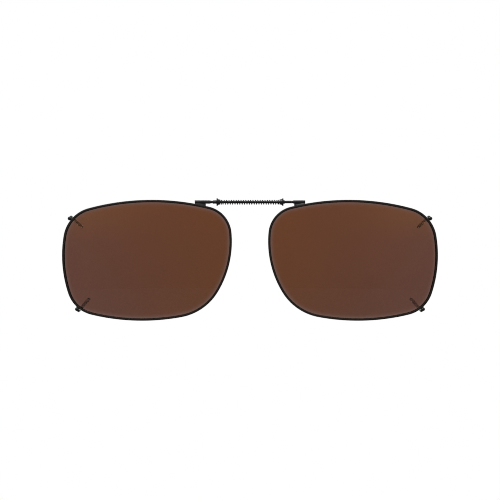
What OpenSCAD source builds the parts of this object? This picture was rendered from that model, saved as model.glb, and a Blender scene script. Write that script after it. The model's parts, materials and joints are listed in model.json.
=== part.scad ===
// Clip-on sunglasses: two rimmed lenses joined by a sprung, sliding bridge, with four
// hooks that catch behind the rims of a pair of spectacles. The lenses pull apart along X
// against the spring. Millimetres, +Z up, the front faces -Y. The origin is on the plane
// of symmetry, on the lens datum line, at mid depth. Left is the viewer's left, at -X.

/* [Lenses] */
// Distance from the middle of the bridge to the centre of a lens
lens_x = 32.7; // [32:0.1:36]
// Radius of the front of a lens, a 4 base curve
lens_r = 132; // [120:1:150]
// Thickness of a lens
lens_t = 0.9; // [0.7:0.1:1.0]
// Angle that each lens is turned back at its temple end
wrap = 4; // [2:0.5:5]

/* [Rims] */
// Width of the rim wire, seen from the front
rim_w = 0.65; // [0.6:0.05:0.8]
// Depth of the groove that holds the lens
groove = 0.3; // [0.2:0.05:0.35]
// Rim metal in front of and behind the lens
lip = 0.2; // [0.15:0.05:0.3]

/* [Bridge] */
// Height of the bridge rods above the datum line
rod_z = 18.5; // [18.3:0.1:18.6]
// Diameter of the round that the two half-round rods make together
rod_d = 0.84; // [0.7:0.02:0.9]
// Distance from the middle to the inner face of a stop's flange
stop_x = 10.15; // [9:0.05:10.5]
// Diameter of a stop's flange
flange_d = 2.4; // [2.2:0.1:2.8]
// Outer diameter of the spring
spring_d = 1.55; // [1.5:0.01:1.6]
// Diameter of the spring's wire
spring_wire = 0.22; // [0.18:0.01:0.23]
// Number of turns in the spring, with its closed ends
spring_turns = 26; // [20:1:30]

/* [Hooks] */
// Clear depth between the back of the rim and the hook
hook_gap = 4.7; // [4:0.1:6]
// Reach of an upper hook from the middle of its upright to its tip
upper_reach = 5; // [4.5:0.1:6]
// Reach of a lower hook from the middle of its upright to its tip
lower_reach = 5.3; // [4.5:0.1:6]
// Diameter of the hook wire
hook_d = 0.7; // [0.6:0.05:0.8]
// Outer diameter of the soft sleeve on a hook
sleeve_d = 0.96; // [0.9:0.02:1.1]
// Diameter of the post that joins a hook to its rim
post_d = 1.2; // [1.1:0.1:1.4]

/* [Hidden] */
$fn = 48;
DOME_FN = 240;

// The rim's outline is four corner arcs joined by four flatter side arcs, all tangent.
// Corners, from the upper nose corner round by the temple: [towards nose, up, radius].
CORNERS = [[17.65, 8.02, 9.24], [-15.78, 6.06, 10.88], [-15.33, -7.26, 10.25], [7.9, -1.18, 17.08]];
// Radii of the top, temple, bottom and nose sides
SIDE_R = [77.7, 38.6, 69.1, 30.9];
// Length of the short straights that an arc is drawn with
CHORD = 1.6;

// Gap left between pieces that touch or slide on each other
fit = 0.02;
// Running clearance round a rod in a stop
run = 0.03;
// Gap between the flat faces of the two rods
rod_gap = 0.06;
bore_d = rod_d + 2 * run;

rim_depth = lens_t + 2 * lip;
dome_x = -lens_x + lens_r * sin(wrap);

bracket_in = 14;
bracket_out = 17.5;
barrel_d = rod_d + 0.26;
web_depth = 0.9;
socket = 2.4;
rod_y = 1.9;

flange_t = 0.45;
seat_l = 0.8;
seat_d = 1.85;
ferrule_d = 1.14;
// Lengths of the ferrules, and of the barrels past their webs: [left, right]
FERRULE_L = [1.1, 0.4];
COLLAR_L = [1.5, 0.3];

closed_turns = 1.25;
turn_steps = 12;
wire_sides = 6;
spring_r = (spring_d - spring_wire) / 2;
spring_l = 2 * (stop_x - seat_l - fit);
// The loose spring rests on the top of the rods
spring_drop = spring_r - spring_wire / 2 - rod_d / 2 - 0.045;

// Middle of each left post, [x, z]
UPPER_POST = [-57.3, 13.3];
LOWER_POST = [-54.95, -15.5];
// Middle of each left hook's upright, beside its post, and the way the hook points in from it
UPPER_WIRE = [-57, 13.77];
LOWER_WIRE = [-54.54, -15.99];
upper_angle = -43;
lower_angle = 49;
bend_r = 1.3;
post_tail = 0.3;
post_dome = 0.45;
sleeve_start = 1.2;
rim_back = 6.1;
hook_y = rim_back + hook_gap + sleeve_d / 2;
mid_y = (hook_y + sleeve_d / 2) / 2;

function heading(from, to) = atan2(to[1] - from[1], to[0] - from[0]);
function after(angle, start) = angle < start ? angle + 360 : angle;

// Centre of the side arc that touches corner i and the next corner
function side_centre(i) =
    let (
        a = CORNERS[i],
        b = CORNERS[(i + 1) % 4],
        a_gap = SIDE_R[i] - a[2],
        b_gap = SIDE_R[i] - b[2],
        span = norm([b[0] - a[0], b[1] - a[1]]),
        way = [(b[0] - a[0]) / span, (b[1] - a[1]) / span],
        along = (span * span + a_gap * a_gap - b_gap * b_gap) / (2 * span),
        off = sqrt(a_gap * a_gap - along * along)
    )
    [a[0] + way[0] * along - way[1] * off, a[1] + way[1] * along + way[0] * off];

// Points of an arc of radius r, drawn inset from it, without its last point
function arc(centre, r, inset, start, end) =
    let (steps = ceil((end - start) * PI / 180 * r / CHORD))
    [
        for (k = [0:steps - 1])
            let (angle = start + (end - start) * k / steps)
            [centre[0] + (r - inset) * cos(angle), centre[1] + (r - inset) * sin(angle)]
    ];

function outline(inset) = [
    for (i = [0:3])
        let (
            corner = CORNERS[i],
            before = side_centre((i + 3) % 4),
            next = side_centre(i),
            start = heading(before, corner),
            join = after(heading(next, corner), start),
            end = after(heading(next, CORNERS[(i + 1) % 4]), join)
        )
        each concat(
            arc(corner, corner[2], inset, start, join),
            arc(next, SIDE_R[i], inset, join, end)
        )
];

// A left part is drawn in its place, and a right part is its mirror image
module on_side(right) {
    mirror([right ? 1 : 0, 0, 0]) translate([0, -mid_y, 0]) children();
}

// The rim's outline, drawn inset, carried through the whole depth
module through_outline(inset) {
    translate([-lens_x, 14, 0]) rotate([90, 0, 0]) linear_extrude(16) polygon(outline(inset));
}

// Everything between two domes: so far in front of the lens's face, and so far behind it
module dome_shell(front, back) {
    translate([dome_x, lens_r, 0]) difference() {
        sphere(r = lens_r + front, $fn = DOME_FN);
        sphere(r = lens_r - back, $fn = DOME_FN);
    }
}

module lens(right) {
    color("saddlebrown", 0.75) on_side(right) intersection() {
        through_outline(rim_w - groove + fit);
        dome_shell(0, lens_t);
    }
}

module rim(right) {
    color("black") on_side(right) difference() {
        intersection() {
            through_outline(0);
            dome_shell(lip, lens_t + lip);
        }
        through_outline(rim_w);
        intersection() {
            through_outline(rim_w - groove);
            dome_shell(fit, lens_t + fit);
        }
    }
}

// A round bar along X between two distances from the middle, on the left side
module bar(d, from, to) {
    translate([-to, rod_y, rod_z]) rotate([0, 90, 0]) cylinder(d = d, h = to - from);
}

// Half of that bar: its front half, or its back half
module half_bar(d, from, to, back) {
    reach = to - from;
    intersection() {
        bar(d, from, to);
        translate([-to - 1, rod_y + (back ? rod_gap / 2 : -rod_gap / 2 - d), rod_z - d])
            cube([reach + 2, d, 2 * d]);
    }
}

// The rod's root sits in a barrel, which a web joins to the top of the rim
module bracket(right) {
    color("darkslategray") on_side(right) difference() {
        union() {
            bar(barrel_d, bracket_in - COLLAR_L[right ? 1 : 0], bracket_out);
            translate([-bracket_out, rod_y - web_depth / 2, rod_z - 3])
                cube([bracket_out - bracket_in, web_depth, 3]);
        }
        through_outline(0);
        bar(rod_d, bracket_in - 3, bracket_in + socket);
    }
}

// Inside end of the ferrule, from the middle, on one side
function ferrule_end(right) = stop_x + flange_t + FERRULE_L[right ? 1 : 0];

// A rod is round in its bracket and half-round along the bridge. Its far end is thicker,
// to fill its half of the stop and the ferrule on the other side.
module rod(right) {
    seat = stop_x - seat_l;
    color("dimgray") on_side(right) {
        bar(rod_d, ferrule_end(right) + fit, bracket_in + socket);
        half_bar(rod_d, -seat, ferrule_end(right) + fit, right);
        half_bar(bore_d, -ferrule_end(!right), -seat, right);
    }
}

module stop(right) {
    color("black") on_side(right) difference() {
        union() {
            bar(flange_d, stop_x, stop_x + flange_t);
            translate([-stop_x, rod_y, rod_z]) rotate([0, 90, 0])
                cylinder(d1 = seat_d, d2 = spring_d, h = seat_l, $fn = 48);
        }
        bar(bore_d, stop_x - seat_l - 1, stop_x + flange_t + 1);
    }
}

module ferrule(right) {
    color("darkslategray") on_side(right) difference() {
        bar(ferrule_d, stop_x + flange_t, ferrule_end(right));
        bar(bore_d, stop_x, ferrule_end(right) + 1);
    }
}

// How far along the spring its wire is after so many turns
function spring_way(turn) =
    let (
        closed = spring_wire + 0.01,
        middle = spring_l - spring_wire - 2 * closed_turns * closed,
        pitch = middle / (spring_turns - 2 * closed_turns),
        first = min(turn, closed_turns),
        last = max(turn - (spring_turns - closed_turns), 0)
    )
    spring_wire / 2 + (first + last) * closed + (turn - first - last) * pitch;

module spring() {
    rings = spring_turns * turn_steps;
    points = [
        for (i = [0:rings], k = [0:wire_sides - 1])
            let (
                swing = 360 * i / turn_steps,
                lean = 360 * k / wire_sides,
                r = spring_r + spring_wire / 2 * cos(lean)
            )
            [
                spring_way(i / turn_steps) + spring_wire / 2 * sin(lean),
                r * cos(swing),
                r * sin(swing)
            ]
    ];
    walls = [
        for (i = [0:rings - 1], k = [0:wire_sides - 1])
            let (a = i * wire_sides, next = (k + 1) % wire_sides)
            [a + k, a + next, a + wire_sides + next, a + wire_sides + k]
    ];
    start_face = [for (k = [wire_sides - 1:-1:0]) k];
    end_face = [for (k = [0:wire_sides - 1]) rings * wire_sides + k];
    color("dimgray")
        translate([-spring_l / 2, rod_y - mid_y, rod_z - spring_drop])
            polyhedron(points, concat(walls, [start_face, end_face]), convexity = 10);
}

// Wire bent into a hook from the origin: an upright back along +Y, a bend, then in along +X
module hook_wire(d, start, back, reach) {
    translate([0, start, 0]) rotate([-90, 0, 0]) cylinder(d = d, h = back - bend_r - start);
    translate([bend_r, back - bend_r, 0]) rotate([0, 0, 90])
        rotate_extrude(angle = 90) translate([bend_r, 0]) circle(d = d);
    translate([bend_r, back, 0]) rotate([0, 90, 0]) cylinder(d = d, h = reach - bend_r);
}

// Depth of the lens's face at a place on the left lens, [x, z]
function face_y(p) = lens_r - sqrt(lens_r * lens_r - pow(p[0] - dome_x, 2) - p[1] * p[1]);

// Takes a hook from the origin to its place
module at_wire(right, upper) {
    wire = upper ? UPPER_WIRE : LOWER_WIRE;
    on_side(right) translate([wire[0], 0, wire[1]])
        rotate([0, upper ? -upper_angle : -lower_angle, 0]) children();
}

// A post lies against the outside of the rim along Y, with a domed front end
module post_shape() {
    rotate([-90, 0, 0]) rotate_extrude() polygon([
        [0, rim_depth + post_tail],
        [post_d / 2, rim_depth + post_tail],
        for (lean = [0:15:90]) [post_d / 2 * cos(lean), -post_dome * sin(lean)]
    ]);
}

module prong(right, upper) {
    post = upper ? UPPER_POST : LOWER_POST;
    front = face_y(post) - lip;
    reach = upper ? upper_reach : lower_reach;
    color("dimgray") {
        on_side(right) difference() {
            translate([post[0], front, post[1]]) post_shape();
            through_outline(0);
        }
        at_wire(right, upper) hook_wire(hook_d, front + lip, hook_y, reach - sleeve_d / 2);
    }
}

module sleeve(right, upper) {
    post = upper ? UPPER_POST : LOWER_POST;
    front = face_y(post) - lip;
    start = front + rim_depth + sleeve_start;
    tip = (upper ? upper_reach : lower_reach) - sleeve_d / 2;
    color("gray", 0.7) at_wire(right, upper) difference() {
        union() {
            hook_wire(sleeve_d, start, hook_y, tip);
            translate([tip, hook_y, 0]) sphere(d = sleeve_d);
        }
        hook_wire(hook_d, front, hook_y, tip);
    }
}

lens(false);  // left_lens
lens(true);  // right_lens
rim(false);  // left_rim
rim(true);  // right_rim
bracket(false);  // left_bracket
bracket(true);  // right_bracket
rod(false);  // left_rod
rod(true);  // right_rod
stop(false);  // left_stop
stop(true);  // right_stop
ferrule(false);  // left_ferrule
ferrule(true);  // right_ferrule
spring();
prong(false, true);  // upper_left_prong
prong(false, false);  // lower_left_prong
prong(true, true);  // upper_right_prong
prong(true, false);  // lower_right_prong
sleeve(false, true);  // upper_left_sleeve
sleeve(false, false);  // lower_left_sleeve
sleeve(true, true);  // upper_right_sleeve
sleeve(true, false);  // lower_right_sleeve
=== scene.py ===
"""Looks of the clip-on sunglasses. Lengths are millimetres until a mesh is made, which is in metres.

Every piece is modelled as on the left half (at -X), and mirrored where it belongs to the right half.
"""
import json
import math

import bpy
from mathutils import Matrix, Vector


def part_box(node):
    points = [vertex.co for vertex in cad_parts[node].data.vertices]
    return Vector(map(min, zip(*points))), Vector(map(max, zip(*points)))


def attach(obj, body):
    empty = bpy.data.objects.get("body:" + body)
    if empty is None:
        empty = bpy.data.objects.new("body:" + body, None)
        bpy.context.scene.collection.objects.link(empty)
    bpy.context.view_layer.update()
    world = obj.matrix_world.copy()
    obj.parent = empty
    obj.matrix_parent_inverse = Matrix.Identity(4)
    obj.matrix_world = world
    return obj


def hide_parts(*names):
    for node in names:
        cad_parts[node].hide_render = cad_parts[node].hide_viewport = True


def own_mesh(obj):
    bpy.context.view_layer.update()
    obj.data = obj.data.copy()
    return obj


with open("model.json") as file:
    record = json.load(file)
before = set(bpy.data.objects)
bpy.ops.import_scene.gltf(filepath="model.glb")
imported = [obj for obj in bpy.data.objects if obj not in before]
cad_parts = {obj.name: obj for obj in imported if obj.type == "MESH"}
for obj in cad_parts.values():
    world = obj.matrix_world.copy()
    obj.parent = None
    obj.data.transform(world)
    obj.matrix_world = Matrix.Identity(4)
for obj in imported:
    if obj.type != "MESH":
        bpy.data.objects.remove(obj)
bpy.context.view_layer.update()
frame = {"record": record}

MM = 0.001

# ---------------------------------------------------------------- places taken from the frame


def box_mm(node):
    """Lowest and highest corner of a CAD node, in millimetres."""
    low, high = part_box(node)
    return low / MM, high / MM


def middle(node):
    low, high = box_mm(node)
    return (low + high) / 2


# The rim's outline is four corner arcs joined by four flatter side arcs, all tangent.
# Corners, from the upper nose corner round by the temple: (towards nose, up, radius).
CORNERS = ((17.65, 8.02, 9.24), (-15.78, 6.06, 10.88), (-15.33, -7.26, 10.25), (7.9, -1.18, 17.08))
# Radii of the top, temple, bottom and nose sides
SIDE_R = (77.7, 38.6, 69.1, 30.9)

LENS_R = 132.0
LENS_T = 0.9
LIP = 0.2  # rim metal in front of the lens, and behind it
RIM_DEPTH = LENS_T + 2 * LIP
WRAP = math.radians(4)

rod_axis = middle("left_ferrule")  # only its y and z are used
spring_axis = middle("spring")
depth_half = box_mm("upper_left_sleeve")[1].y  # the origin is at mid depth


def side_centre(i):
    """Centre of the side arc that touches corner i and the next corner."""
    ax, az, ar = CORNERS[i]
    bx, bz, br = CORNERS[(i + 1) % 4]
    a_gap, b_gap = SIDE_R[i] - ar, SIDE_R[i] - br
    span = math.hypot(bx - ax, bz - az)
    wx, wz = (bx - ax) / span, (bz - az) / span
    along = (span**2 + a_gap**2 - b_gap**2) / (2 * span)
    off = math.sqrt(a_gap**2 - along**2)
    return ax + wx * along - wz * off, az + wz * along + wx * off


def heading(a, b):
    return math.atan2(b[1] - a[1], b[0] - a[0])


def outline(step):
    """The outline as points about step apart: a list of ((x, z), outward (x, z))."""
    points = []
    for i in range(4):
        x, z, r = CORNERS[i]
        before, after = side_centre(i - 1), side_centre(i)
        start = heading(before, (x, z))
        join = start + (heading(after, (x, z)) - start) % math.tau
        end = join + (heading(after, CORNERS[(i + 1) % 4]) - join) % math.tau
        for centre, radius, a, b in (((x, z), r, start, join), (after, SIDE_R[i], join, end)):
            count = math.ceil((b - a) * radius / step)
            for k in range(count):
                angle = a + (b - a) * k / count
                out = (math.cos(angle), math.sin(angle))
                points.append(((centre[0] + radius * out[0], centre[1] + radius * out[1]), out))
    return points


OUTLINE = outline(step=0.55)
OUTLINE_X = [point[0] for point, _ in OUTLINE]
# Middle of the left lens, and the centre of the sphere that its front lies on
lens_x = middle("left_rim").x - (min(OUTLINE_X) + max(OUTLINE_X)) / 2
dome = Vector((lens_x + LENS_R * math.sin(WRAP), LENS_R - depth_half, 0))


def on_dome(x, z, behind):
    """The point at x, z that lies so far behind the lens's face."""
    r = LENS_R - behind
    return Vector((x, dome.y - math.sqrt(r * r - (x - dome.x) ** 2 - (z - dome.z) ** 2), z))


class Station:
    """A place on the rim: its outer front edge, and the ways in towards the lens and back."""

    def __init__(self, point, out):
        self.edge = on_dome(lens_x + point[0], point[1], -LIP)
        self.back = (dome - self.edge).normalized()
        out = Vector((out[0], 0, out[1]))
        self.inward = -(out - self.back * out.dot(self.back)).normalized()

    def at(self, inward, back):
        return self.edge + self.inward * inward + self.back * back


STATIONS = [Station(*p) for p in OUTLINE]


def rim_top(x):
    """Height of the rim's outer edge above x, on the upper side."""
    upper = sorted((s.edge.x, s.edge.z) for s in STATIONS if s.edge.z > 0)
    for (xa, za), (xb, zb) in zip(upper, upper[1:]):
        if xa <= x <= xb:
            return za + (zb - za) * (x - xa) / (xb - xa)
    return upper[-1][1]


# ---------------------------------------------------------------- materials


class Nodes:
    """A material's node tree, with short names for what the materials below need."""

    def __init__(self, name):
        self.material = bpy.data.materials.new(name)
        self.material.use_nodes = True
        self.tree = self.material.node_tree
        self.shader = self.tree.nodes["Principled BSDF"]
        self.place = self.tree.nodes.new("ShaderNodeTexCoord").outputs["Object"]

    def node(self, kind, **values):
        made = self.tree.nodes.new(kind)
        for key, value in values.items():
            setattr(made, key, value)
        return made

    def link(self, a, b):
        self.tree.links.new(a, b)

    def calculate(self, operation, *values):
        """The result of a Math node on sockets or numbers."""
        made = self.node("ShaderNodeMath", operation=operation)
        for value, socket in zip(values, made.inputs):
            self.link(value, socket)
        return made.outputs[0]

    def set(self, **values):
        for key, value in values.items():
            self.shader.inputs[key.replace("_", " ")].default_value = value

    def noise(self, size, detail=4, stretch=(1, 1, 1)):
        """Noise whose features are about size millimetres across."""
        mapping = self.node("ShaderNodeMapping")
        mapping.inputs["Scale"].default_value = stretch
        noise = self.node("ShaderNodeTexNoise")
        noise.inputs["Scale"].default_value = 1 / (size * MM)
        noise.inputs["Detail"].default_value = detail
        noise.inputs["Roughness"].default_value = 0.55
        self.link(self.place, mapping.inputs["Vector"])
        self.link(mapping.outputs["Vector"], noise.inputs["Vector"])
        return noise.outputs["Fac"]

    def ramp(self, value, stops):
        ramp = self.node("ShaderNodeValToRGB")
        elements = ramp.color_ramp.elements
        while len(elements) < len(stops):
            elements.new(0.5)
        for element, (at, colour) in zip(elements, stops):
            element.position = at
            element.color = (*colour, 1)
        self.link(value, ramp.inputs["Fac"])
        return ramp.outputs["Color"]

    def spread(self, value, low, high, start=0.3, end=0.7):
        """value between start and end, as a number between low and high."""
        span = self.node("ShaderNodeMapRange")
        for name, number in (("From Min", start), ("From Max", end), ("To Min", low), ("To Max", high)):
            span.inputs[name].default_value = number
        self.link(value, span.inputs["Value"])
        return span.outputs["Result"]

    def mix(self, share, a, b, blend="MIX"):
        """Colour b over a. Each may be a socket or a colour."""
        mix = self.node("ShaderNodeMix", data_type="RGBA", blend_type=blend)
        for socket, value in ((mix.inputs[0], share), (mix.inputs[6], a), (mix.inputs[7], b)):
            if isinstance(value, bpy.types.NodeSocket):
                self.link(value, socket)
            else:
                socket.default_value = (*value, 1) if isinstance(value, tuple) else value
        return mix.outputs[2]

    def bump(self, height, strength, distance):
        bump = self.node("ShaderNodeBump")
        bump.inputs["Strength"].default_value = strength
        bump.inputs["Distance"].default_value = distance * MM
        self.link(height, bump.inputs["Height"])
        self.link(bump.outputs["Normal"], self.shader.inputs["Normal"])


def dark_metal(name, dark, light, rough, grain, metallic):
    """Dark plating or enamel: colour drift, fine polish lines along X, and a faint orange peel."""
    n = Nodes(name)
    n.set(Metallic=metallic, Coat_Weight=0.15, Coat_Roughness=0.12)
    drift = n.noise(1.6)
    polish = n.noise(grain, detail=6, stretch=(0.15, 1, 1))
    tint = n.ramp(drift, ((0.3, dark), (0.7, light)))
    lines = n.ramp(polish, ((0.35, dark), (0.65, light)))
    n.link(n.mix(0.25, tint, lines), n.shader.inputs["Base Color"])
    n.link(n.spread(polish, *rough), n.shader.inputs["Roughness"])
    n.bump(n.noise(grain * 1.5, detail=3), 0.12, 0.02)
    return n.material


# Colour of the lens at its nose side, in the middle, at the temple, and along its edge
LENS_NOSE = (0.131, 0.0495, 0.0228)
LENS_MIDDLE = (0.1245, 0.0490, 0.0282)
LENS_TEMPLE = (0.1265, 0.0555, 0.0395)
LENS_EDGE = (0.146, 0.082, 0.066)


def tinted_lens():
    """Brown polarised plastic: bluer towards the temple, warmer at the top, lighter along its edge."""
    n = Nodes("tinted_lens")
    n.set(Transmission_Weight=1.0, IOR=1.5)
    split = n.node("ShaderNodeSeparateXYZ")
    n.link(n.place, split.inputs[0])
    across = n.calculate("ABSOLUTE", split.outputs["X"])
    up = split.outputs["Z"]
    temple = n.spread(across, 0, 1, 0.012, 0.060)
    tint = n.ramp(temple, ((0.0, LENS_NOSE), (0.45, LENS_MIDDLE), (1.0, LENS_TEMPLE)))
    height = n.spread(up, 0, 1, -0.019, 0.019)
    corner = n.calculate(
        "MULTIPLY", n.spread(up, 0, 1, 0.006, 0.017), n.spread(across, 0, 1, 0.025, 0.052)
    )
    shades = (
        n.ramp(height, ((0.0, (0.93, 0.97, 1.06)), (0.6, (1.0, 1.0, 1.0)), (1.0, (1.08, 1.03, 0.96)))),
        n.ramp(corner, ((0.0, (1.0, 1.0, 1.0)), (1.0, (1.2, 1.22, 0.9)))),
        n.ramp(n.noise(14, detail=2), ((0.3, (0.975, 0.985, 1.0)), (0.7, (1.02, 1.01, 1.0)))),
    )
    for shade in shades:
        tint = n.mix(1.0, tint, shade, "MULTIPLY")
    edge = n.node("ShaderNodeAttribute", attribute_name="edge")
    n.link(n.mix(edge.outputs["Fac"], tint, LENS_EDGE), n.shader.inputs["Base Color"])
    n.link(n.spread(n.noise(3, detail=5), 0.0, 0.02), n.shader.inputs["Roughness"])
    return n.material


def soft_vinyl():
    """Smoky translucent vinyl with a slight mottling and a moulded skin."""
    n = Nodes("sleeve_vinyl")
    n.set(Transmission_Weight=0.9, IOR=1.45, Coat_Weight=0.2, Coat_Roughness=0.2)
    tint = n.ramp(n.noise(0.9), ((0.3, (0.45, 0.47, 0.43)), (0.7, (0.56, 0.58, 0.53))))
    n.link(tint, n.shader.inputs["Base Color"])
    n.link(n.spread(n.noise(0.5), 0.32, 0.5), n.shader.inputs["Roughness"])
    n.bump(n.noise(0.12, detail=3), 0.2, 0.015)
    return n.material


# Dark and light tone, least and most roughness, width of the polish lines, metallic
METALS = {
    "rim_metal": ((0.020, 0.014, 0.010), (0.040, 0.031, 0.024), (0.24, 0.38), 0.25, 0.0),
    "bridge_metal": ((0.018, 0.017, 0.017), (0.045, 0.044, 0.045), (0.24, 0.4), 0.2, 0.3),
    "spring_wire": ((0.016, 0.016, 0.015), (0.040, 0.040, 0.038), (0.26, 0.42), 0.12, 0.5),
    "hook_metal": ((0.020, 0.022, 0.019), (0.056, 0.060, 0.054), (0.2, 0.32), 0.2, 0.5),
}
MATERIALS = {name: dark_metal(name, *look) for name, look in METALS.items()}
MATERIALS["tinted_lens"] = tinted_lens()
MATERIALS["sleeve_vinyl"] = soft_vinyl()

SLOTS = {part["node"]: part["material_slot"] for part in frame["record"]["subparts"]}
BODIES = frame["record"]["behaviour"]["bodies"]
BODY_OF = {node: body for body, nodes in BODIES.items() for node in nodes}

# ---------------------------------------------------------------- mesh tools


class Shape:
    """Vertices, in millimetres, and faces. Shells are added one after another.

    edge holds, for a lens only, how near each vertex is to the edge, from 0 to 1.
    """

    def __init__(self):
        self.points = []
        self.faces = []
        self.edge = []

    def face_out(self, first_face):
        """Turns the faces from first_face on, which close one shell, so that they face outwards."""
        volume = 0.0
        for face in self.faces[first_face:]:
            a = self.points[face[0]]
            for k in range(1, len(face) - 1):
                volume += a.dot(self.points[face[k]].cross(self.points[face[k + 1]]))
        if volume < 0:
            self.faces[first_face:] = [f[::-1] for f in self.faces[first_face:]]

    def rings(self, rings, loop=False, caps=True):
        """Skins rings of equal length. loop joins the last ring to the first; caps close the ends."""
        first = len(self.points)
        first_face = len(self.faces)
        size = len(rings[0])
        for ring in rings:
            self.points.extend(Vector(p) for p in ring)
        last = len(rings) if loop else len(rings) - 1
        for i in range(last):
            a, b = first + i * size, first + (i + 1) % len(rings) * size
            for k in range(size):
                m = (k + 1) % size
                self.faces.append((a + k, a + m, b + m, b + k))
        if caps and not loop:
            self.faces.append(tuple(first + k for k in reversed(range(size))))
            self.faces.append(tuple(first + (len(rings) - 1) * size + k for k in range(size)))
        if caps or loop:
            self.face_out(first_face)

    def tube(self, path, radii, binormal, sides=20, flatten=1.0):
        """A round tube along a plane path. binormal is the plane's normal; flatten squeezes along it."""
        rings = []
        for i, p in enumerate(path):
            ahead = (path[min(i + 1, len(path) - 1)] - path[max(i - 1, 0)]).normalized()
            side = ahead.cross(binormal).normalized()
            ring = []
            for k in range(sides):
                a = math.tau * k / sides
                ring.append(p + (side * math.cos(a) - binormal * math.sin(a) * flatten) * radii[i])
            rings.append(ring)
        self.rings(rings)

    def lathe(self, origin, axis, profile, sides=56, closed=False):
        """A profile of (radius, distance along axis) turned about an axis. closed makes a ring."""
        across = axis.orthogonal().normalized()
        other = axis.cross(across)
        rings = []
        for r, along in profile:
            ring = []
            for k in range(sides):
                a = math.tau * k / sides
                ring.append(origin + axis * along + (across * math.cos(a) + other * math.sin(a)) * r)
            rings.append(ring)
        self.rings(rings, loop=closed)


SHARP = math.radians(40)  # faces that meet at more than this have a sharp edge


def place(node, shape, right):
    """Makes the piece that stands for a CAD node, mirrored for the right half."""
    mesh = bpy.data.meshes.new(node)
    flip = -1 if right else 1
    faces = [tuple(reversed(f)) if right else f for f in shape.faces]
    mesh.from_pydata([(p.x * flip * MM, p.y * MM, p.z * MM) for p in shape.points], [], faces)
    if shape.edge:
        layer = mesh.attributes.new("edge", "FLOAT", "POINT")
        layer.data.foreach_set("value", shape.edge)
    mesh.polygons.foreach_set("use_smooth", [True] * len(mesh.polygons))
    mesh.set_sharp_from_angle(angle=SHARP)
    mesh.materials.append(MATERIALS[SLOTS[node]])
    piece = bpy.data.objects.new("look_" + node, mesh)
    bpy.context.scene.collection.objects.link(piece)
    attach(piece, BODY_OF[node])
    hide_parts(node)
    return piece


# ---------------------------------------------------------------- rims and lenses

# The rim wire's section, (inward, back): a channel with rounded outer corners and lips
RIM_SECTION = (
    (0.07, 0.006), (0.025, 0.03), (0.003, 0.08), (0.0, 0.3), (0.0, 0.65), (0.0, 1.0),
    (0.003, 1.22), (0.025, 1.27), (0.07, 1.294), (0.32, 1.3), (0.57, 1.294), (0.625, 1.27),
    (0.65, 1.21), (0.64, 1.13), (0.60, 1.115), (0.21, 1.11), (0.19, 1.09), (0.19, 0.21),
    (0.21, 0.19), (0.60, 0.185), (0.64, 0.17), (0.65, 0.09), (0.625, 0.03), (0.57, 0.006), (0.32, 0.0),
)
LENS_EDGE_IN = 0.24  # how far the lens's edge lies inside the rim's outer edge
# Distances in from the lens's edge of the rings that its faces are made of, before they only shrink
LENS_STEPS = (0.0, 0.12, 0.24, 0.36, 0.5, 0.7, 0.95, 1.3, 1.8, 2.5)
LENS_SHRINKS = [1 - k / 16 for k in range(1, 16)]
# The lighter band along the lens's edge: width of its full part, and of its fading part
BAND_FLAT = 0.41
BAND_FADE = 0.7
MIDDLE_STEP = 10.0  # stands for a place well inside that band


def make_rim():
    shape = Shape()
    shape.rings([[s.at(*p) for p in RIM_SECTION] for s in STATIONS], loop=True)
    return shape


def make_lens():
    """Two domes and the edge between them. Rings step in from the edge, then shrink to the middle."""
    shape = Shape()
    count = len(STATIONS)

    def dome_rings(behind):
        rings = []
        for step in LENS_STEPS:
            ring = [s.at(LENS_EDGE_IN + step, LIP + behind) for s in STATIONS]
            rings.append(([on_dome(p.x, p.z, behind) for p in ring], step))
        inner = rings[-1][0]
        for share in LENS_SHRINKS:
            ring = [on_dome(lens_x + (p.x - lens_x) * share, p.z * share, behind) for p in inner]
            rings.append((ring, MIDDLE_STEP))
        return rings

    front, back = dome_rings(0), dome_rings(LENS_T)
    shape.rings([r for r, _ in reversed(front)] + [r for r, _ in back], caps=False)
    for _, step in list(reversed(front)) + back:
        fade = max(step - BAND_FLAT, 0) / BAND_FADE
        shape.edge.extend([math.exp(-(fade**2))] * count)
    for behind, ring, turn in ((0, 0, 1), (LENS_T, len(front) + len(back) - 1, -1)):
        hub = len(shape.points)
        shape.points.append(on_dome(lens_x, 0, behind))
        shape.edge.append(0.0)
        for k in range(count):
            a, b = ring * count + k, ring * count + (k + 1) % count
            shape.faces.append((a, b, hub)[::-turn])
    shape.face_out(0)
    return shape


# ---------------------------------------------------------------- bridge

TO_MIDDLE = Vector((1, 0, 0))  # along the bridge, from the left bracket
BRIDGE_AXIS = Vector((0, rod_axis.y, rod_axis.z))
ROD_R = 0.42
BORE_R = 0.45
HALF_GAP = 0.03  # half the gap between the rods' flat faces
WEB_HALF = 0.42  # half the depth of the web between a bracket's barrel and the rim
WEB_END = -14.0  # x of the web's end towards the middle


def bar_point(x, lean, r):
    """A point at radius r on the rods' axis. lean is 0 at the front and a quarter turn at the top."""
    return Vector((x, rod_axis.y - r * math.cos(lean), rod_axis.z + r * math.sin(lean)))


def span_x(node):
    """Outer and inner end of a bridge piece, as on the left side."""
    low, high = box_mm(node)
    return (-high.x, -low.x) if node.startswith("right") else (low.x, high.x)


def bar_radius(node):
    low, high = box_mm(node)
    return (high.z - low.z) / 2


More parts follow.
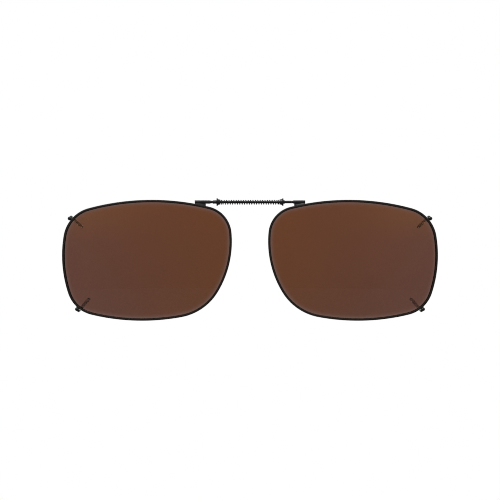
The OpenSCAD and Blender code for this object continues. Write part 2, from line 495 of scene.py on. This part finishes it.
def make_bracket(right):
    """A barrel with rounded ends, and a web that flares out where it is brazed to the rim."""
    node = "right_bracket" if right else "left_bracket"
    outer, inner = span_x(node)
    barrel = box_mm(node)[1].z - rod_axis.z
    shape = Shape()
    round_off = 0.12
    profile = [(0.0, outer)]
    for k in range(5):
        a = math.pi / 2 * k / 4
        profile.append((barrel - round_off * (1 - math.sin(a)), outer + round_off * (1 - math.cos(a))))
    for k in range(5):
        a = math.pi / 2 * k / 4
        profile.append((barrel - round_off * (1 - math.cos(a)), inner - round_off * (1 - math.sin(a))))
    profile.append((ROD_R + 0.005, inner - 0.03))
    shape.lathe(BRIDGE_AXIS, TO_MIDDLE, [(max(r, 1e-3), x) for r, x in profile])
    web_start = outer + 0.1
    sink = 0.1  # how far the web's foot goes into the rim
    rings = []
    count = 15
    for i in range(count + 2):
        share = min(max((i - 1) / (count - 1), 0), 1)
        x = web_start + (WEB_END - web_start) * share
        slim = 0.8 if i in (0, count + 1) else 1.0
        bottom = rim_top(x) - sink
        ring = []
        for side in (-1, 1):
            levels = [k / 7 for k in range(8)]
            if side == 1:
                levels.reverse()
            for level in levels:
                z = bottom + (rod_axis.z - bottom) * level
                flare = 0.2 * math.exp(-(((z - bottom - sink) / 0.22) ** 2))
                ring.append(Vector((x, rod_axis.y + side * (WEB_HALF + flare) * slim, z)))
        rings.append(ring)
    shape.rings(rings)
    return shape


def make_rod(right):
    """Round in its bracket, half-round along the bridge, thicker in the far stop and ferrule."""
    own = "right" if right else "left"
    far = "left" if right else "right"
    root, far_end = span_x(own + "_rod")
    step = span_x(own + "_ferrule")[0] - 0.02
    seat = -span_x(far + "_stop")[1]
    shape = Shape()
    shape.lathe(
        BRIDGE_AXIS,
        TO_MIDDLE,
        [(0.001, root), (ROD_R - 0.05, root), (ROD_R, root + 0.05), (ROD_R, step - 0.03),
         (ROD_R - 0.03, step), (0.001, step)],
    )
    back = 1 if right else -1

    def half_ring(x, r):
        """Half a round about the rods' axis, on this rod's side of the gap."""
        flat = math.asin(HALF_GAP / r)
        ring = []
        for k in range(17):
            lean = -math.pi / 2 + flat + (math.pi - 2 * flat) * k / 16
            p = bar_point(x, lean, r)
            ring.append(Vector((x, rod_axis.y + back * (rod_axis.y - p.y), p.z)))
        if right:
            ring.reverse()
        return ring[::-1]

    shape.rings([
        half_ring(step - 0.01, ROD_R),
        half_ring(seat - 0.06, ROD_R),
        half_ring(seat, BORE_R - 0.004),
        half_ring(far_end - 0.05, BORE_R - 0.004),
        half_ring(far_end, BORE_R - 0.05),
    ])
    return shape


def ring_profile(points):
    """A closed profile with its corners cut by a small round: (radius, along, round)."""
    made = []
    count = len(points)
    for i in range(count):
        r, x, cut = points[i]
        corner = Vector((r, x))
        before = (Vector(points[i - 1][:2]) - corner).normalized() * cut
        after = (Vector(points[(i + 1) % count][:2]) - corner).normalized() * cut
        for t in (0.0, 0.25, 0.5, 0.75, 1.0):
            p = corner + before * (1 - t) ** 2 + after * t * t
            made.append((p.x, p.y))
    return made


FLANGE_T = 0.45
SEAT_ROOT_R = 0.96  # radius of the spring's seat at the flange, and at its end
SEAT_TIP_R = 0.775


def make_stop(right):
    """A thin flange with a tapered seat for the spring, bored for the two rods."""
    node = "right_stop" if right else "left_stop"
    outer, seat = span_x(node)
    flange_r = bar_radius(node)
    face = outer + FLANGE_T
    shape = Shape()
    profile = ring_profile((
        (BORE_R, outer, 0.03), (flange_r, outer, 0.1), (flange_r, face, 0.1),
        (SEAT_ROOT_R, face, 0.1), (SEAT_TIP_R, seat, 0.06), (BORE_R, seat, 0.03),
    ))
    shape.lathe(BRIDGE_AXIS, TO_MIDDLE, profile[::-1], closed=True)
    return shape


LONG_FERRULE = 0.8  # a ferrule longer than this is crimped


def make_ferrule(right):
    """A tube crimped onto the rod's end: shallow grooves round a long one, a plain collar if short."""
    node = "right_ferrule" if right else "left_ferrule"
    outer, inner = span_x(node)
    r = bar_radius(node)
    points = [(BORE_R, outer, 0.02), (r, outer, 0.08)]
    if inner - outer > LONG_FERRULE:
        for at in (0.34, 0.66):
            x = outer + (inner - outer) * at
            points += [(r, x - 0.11, 0.03), (r - 0.06, x, 0.04), (r, x + 0.11, 0.03)]
    points += [(r, inner, 0.04), (BORE_R, inner, 0.02)]
    shape = Shape()
    shape.lathe(BRIDGE_AXIS, TO_MIDDLE, ring_profile(points)[::-1], closed=True)
    return shape


def make_spring():
    """Round wire in a helix with its end turns closed and their tips ground thinner."""
    low, high = box_mm("spring")
    wire = 0.22
    turns, closed_turns = 26, 1.25
    steps, sides = 28, 10  # of a turn, and round the wire
    length = high.x - low.x
    r = (high.z - low.z - wire) / 2
    pitch_closed = wire + 0.01
    pitch = (length - wire - 2 * closed_turns * pitch_closed) / (turns - 2 * closed_turns)
    rings = []
    count = turns * steps
    for i in range(count + 1):
        turn = i / steps
        first = min(turn, closed_turns)
        last = max(turn - (turns - closed_turns), 0)
        x = low.x + wire / 2 + (first + last) * pitch_closed + (turn - first - last) * pitch
        swing = math.tau * turn
        tip = min(i, count - i) / (steps * 0.5)
        wire_r = wire / 2 * (0.35 + 0.65 * min(tip, 1))
        ring = []
        for k in range(sides):
            lean = math.tau * k / sides
            away = r + wire_r * math.cos(lean)
            ring.append(Vector((
                x + wire_r * math.sin(lean),
                spring_axis.y + away * math.cos(swing),
                spring_axis.z + away * math.sin(swing),
            )))
        rings.append(ring[::-1])
    shape = Shape()
    shape.rings(rings)
    return shape


# ---------------------------------------------------------------- hooks

POST_R = 0.6
POST_DOME = 0.45
POST_TAIL = 0.3  # how far a post reaches behind the rim
HOOK_R = 0.35
BEND_R = 1.3
SLEEVE_R = 0.48
WIRE_BEHIND = 0.86  # how far behind a post's front its wire starts
WIRE_IN_SLEEVE = 0.5  # how far the wire shows inside its sleeve
# Height of a post's middle above the middle of the hook's upright beside it
POST_RISE = {"upper": -0.47, "lower": 0.49}
BACK = Vector((0, 1, 0))


class Hook:
    """Where a left hook's post and wire are, and the way it points in."""

    def __init__(self, level):
        low, high = box_mm(level + "_left_prong")
        sleeve_low, sleeve_high = box_mm(level + "_left_sleeve")
        root, tip = sleeve_high.z - SLEEVE_R, sleeve_low.z + SLEEVE_R
        if level == "lower":
            root, tip = sleeve_low.z + SLEEVE_R, sleeve_high.z - SLEEVE_R
        self.upright = Vector((sleeve_low.x + SLEEVE_R, 0, root))
        self.post = Vector((low.x + POST_R, 0, root + POST_RISE[level]))
        run = Vector((sleeve_high.x - SLEEVE_R, 0, tip)) - self.upright
        self.inward, self.reach = run.normalized(), run.length
        self.front = low.y
        self.sleeve_start = sleeve_low.y
        self.depth = sleeve_high.y - SLEEVE_R
        self.flat = BACK.cross(self.inward)

    def line(self, start):
        """Points of the sleeve's middle from depth start back, round the bend and in to its tip."""
        straight = self.depth - BEND_R
        points = [self.upright + BACK * (start + (straight - start) * k / 9) for k in range(9)]
        for k in range(15):
            a = math.pi / 2 * k / 14
            bend = BACK * math.sin(a) + self.inward * (1 - math.cos(a))
            points.append(self.upright + BACK * straight + bend * BEND_R)
        for k in range(1, 10):
            along = BEND_R + (self.reach - BEND_R) * k / 9
            points.append(self.upright + BACK * self.depth + self.inward * along)
        return points


def make_prong(level):
    """A round-headed post, the wire that leaves it, and the braze between it and the rim."""
    hook = Hook(level)
    shape = Shape()
    tail = hook.front + POST_DOME + RIM_DEPTH + POST_TAIL
    profile = [(0.001, hook.front)]
    for k in range(1, 9):
        a = math.pi / 2 * k / 8
        profile.append((POST_R * math.sin(a), hook.front + POST_DOME * (1 - math.cos(a))))
    profile += [
        (POST_R, tail - 0.12), (POST_R - 0.03, tail - 0.04), (POST_R - 0.1, tail),
        (POST_R - 0.25, tail + 0.03), (0.001, tail + 0.05),
    ]
    shape.lathe(hook.post, BACK, profile, sides=40)
    wire_start = hook.front + WIRE_BEHIND
    wire_end = hook.sleeve_start + WIRE_IN_SLEEVE
    path = [hook.upright + BACK * (wire_start + (wire_end - wire_start) * k / 7) for k in range(8)]
    lead = [path[0] - BACK * step for step in (0.24, 0.22, 0.15, 0.06)]
    lead_r = [0.12, 0.2, 0.29, 0.34]
    shape.tube(lead + path, lead_r + [HOOK_R] * len(path), hook.flat)
    near = min(STATIONS, key=lambda s: math.hypot(s.edge.x - hook.post.x, s.edge.z - hook.post.z))
    braze, sizes = [], []
    for k in range(13):
        t = k / 12
        braze.append(near.at(-0.04, 0.1 + 1.12 * t))
        sizes.append(0.3 * math.sqrt(max(1 - (2 * t - 1) ** 4, 0.01)))
    shape.tube(braze, sizes, near.inward.cross(near.back).normalized(), sides=16, flatten=2.0)
    return shape


def make_sleeve(level):
    """A soft tube over the wire with a rolled start and a round tip."""
    hook = Hook(level)
    path = hook.line(hook.sleeve_start)
    lead = [path[0], path[0] + BACK * 0.03, path[0] + BACK * 0.1]
    lead_r = [HOOK_R + 0.02, SLEEVE_R - 0.04, SLEEVE_R]
    tips, tip_r = [], []
    for k in range(1, 9):
        a = math.pi / 2 * k / 8
        tips.append(path[-1] + hook.inward * SLEEVE_R * math.sin(a))
        tip_r.append(max(SLEEVE_R * math.cos(a), 0.002))
    shape = Shape()
    radii = lead_r + [SLEEVE_R] * (len(path) - 1) + tip_r
    shape.tube(lead + path[1:] + tips, radii, hook.flat, sides=28)
    return shape


# ---------------------------------------------------------------- the pieces

for right in (False, True):
    side = "right" if right else "left"
    place(side + "_rim", make_rim(), right)
    place(side + "_lens", make_lens(), right)
    place(side + "_bracket", make_bracket(right), right)
    place(side + "_rod", make_rod(right), right)
    place(side + "_stop", make_stop(right), right)
    place(side + "_ferrule", make_ferrule(right), right)
    for level in ("upper", "lower"):
        place(level + "_" + side + "_prong", make_prong(level), right)
        place(level + "_" + side + "_sleeve", make_sleeve(level), right)

spring = place("spring", make_spring(), False)
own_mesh(spring)

# ---------------------------------------------------------------- stage, light and camera

# Metres from here on
VIEW_W = 0.1589  # width of the view at the object
CAMERA_Z = 0.00329  # height of the middle of the view
DISTANCE = 1.2
SENSOR = 36.0  # millimetres
FLOOR_R = 0.9
FLOOR_Z = -0.138
FLOOR_GLOW = 0.86  # strength of the floor's own light, seen by the camera only
# Brightness of the studio from straight down (0) to straight up (1)
STUDIO = ((0.0, 0.05), (0.45, 0.05), (0.65, 0.07), (0.85, 0.45), (1.0, 0.6))
# Place, size and watts of the lights, which all face the object
LIGHTS = {
    "key": ((-0.45, -0.4, 0.8), (0.5, 0.5), 5),
    "fill": ((0.75, -0.25, 0.55), (0.4, 0.4), 2),
    "back": ((0.2, 0.8, 0.6), (0.6, 0.4), 3),
}


def seen_by_camera(tree):
    """1 for what the camera sees, straight or through a lens. The studio is dim for all other light."""
    ray = tree.nodes.new("ShaderNodeLightPath")
    seen = tree.nodes.new("ShaderNodeMath")
    seen.operation = "MAXIMUM"
    tree.links.new(ray.outputs["Is Camera Ray"], seen.inputs[0])
    tree.links.new(ray.outputs["Is Transmission Ray"], seen.inputs[1])
    return seen.outputs[0]


def make_floor():
    """A pale disc, far enough below to be out of the front view."""
    mesh = bpy.data.meshes.new("floor")
    count, ring_count = 128, 4
    points = [(0, 0, FLOOR_Z)]
    for i in range(ring_count):
        r = FLOOR_R * (i + 1) / ring_count
        angles = [math.tau * k / count for k in range(count)]
        points += [(r * math.cos(angle), r * math.sin(angle), FLOOR_Z) for angle in angles]
    faces = [(0, 1 + k, 1 + (k + 1) % count) for k in range(count)]
    for i in range(ring_count - 1):
        a, b = 1 + i * count, 1 + (i + 1) * count
        faces += [(a + k, b + k, b + (k + 1) % count, a + (k + 1) % count) for k in range(count)]
    mesh.from_pydata(points, [], faces)
    n = Nodes("floor")
    n.set(Roughness=0.85, Specular_IOR_Level=0.2)
    tint = n.ramp(n.noise(60, detail=3), ((0.35, (0.13, 0.13, 0.13)), (0.65, (0.15, 0.15, 0.15))))
    n.link(tint, n.shader.inputs["Base Color"])
    n.set(Emission_Color=(1, 1, 1, 1))
    seen = seen_by_camera(n.tree)
    n.link(n.spread(seen, 0.0, FLOOR_GLOW, 0, 1), n.shader.inputs["Emission Strength"])
    mesh.materials.append(n.material)
    floor = bpy.data.objects.new("floor", mesh)
    bpy.context.scene.collection.objects.link(floor)


def make_light(name, at, size, power):
    data = bpy.data.lights.new(name, "AREA")
    data.shape = "RECTANGLE"
    data.size, data.size_y = size
    data.energy = power
    light = bpy.data.objects.new(name, data)
    light.location = at
    light.rotation_mode = "QUATERNION"
    light.rotation_quaternion = (-Vector(at)).to_track_quat("-Z", "Y")
    bpy.context.scene.collection.objects.link(light)


def make_world():
    """A white backdrop, and a dim studio that is brighter overhead."""
    world = bpy.data.worlds.new("studio")
    bpy.context.scene.world = world
    world.use_nodes = True
    tree = world.node_tree
    tree.nodes.clear()
    out = tree.nodes.new("ShaderNodeOutputWorld")
    way = tree.nodes.new("ShaderNodeTexCoord")
    split = tree.nodes.new("ShaderNodeSeparateXYZ")
    tree.links.new(way.outputs["Generated"], split.inputs[0])
    height = tree.nodes.new("ShaderNodeMapRange")
    height.inputs["From Min"].default_value = -1
    tree.links.new(split.outputs["Z"], height.inputs["Value"])
    ramp = tree.nodes.new("ShaderNodeValToRGB")
    elements = ramp.color_ramp.elements
    while len(elements) < len(STUDIO):
        elements.new(0.5)
    for element, (at, level) in zip(elements, STUDIO):
        element.position = at
        element.color = (level, level, level * 1.03, 1)
    tree.links.new(height.outputs["Result"], ramp.inputs["Fac"])
    dim = tree.nodes.new("ShaderNodeBackground")
    tree.links.new(ramp.outputs["Color"], dim.inputs["Color"])
    white = tree.nodes.new("ShaderNodeBackground")
    white.inputs["Color"].default_value = (1, 1, 1, 1)
    mix = tree.nodes.new("ShaderNodeMixShader")
    tree.links.new(seen_by_camera(tree), mix.inputs[0])
    tree.links.new(dim.outputs[0], mix.inputs[1])
    tree.links.new(white.outputs[0], mix.inputs[2])
    tree.links.new(mix.outputs[0], out.inputs["Surface"])


make_floor()
make_world()
for name, light in LIGHTS.items():
    make_light(name, *light)

camera_data = bpy.data.cameras.new("camera")
camera_data.sensor_width = SENSOR
camera_data.lens = SENSOR * DISTANCE / VIEW_W
camera_data.clip_end = 10
camera = bpy.data.objects.new("camera", camera_data)
camera.location = (0, -DISTANCE, CAMERA_Z)
camera.rotation_euler = (math.pi / 2, 0, 0)
bpy.context.scene.collection.objects.link(camera)
bpy.context.scene.camera = camera
bpy.context.scene.view_settings.view_transform = "Standard"
# The spring's turns are under 3 pixels apart. Without these two, the picture loses them.
bpy.context.scene.cycles.filter_width = 1.0
bpy.context.scene.cycles.denoising_prefilter = "NONE"
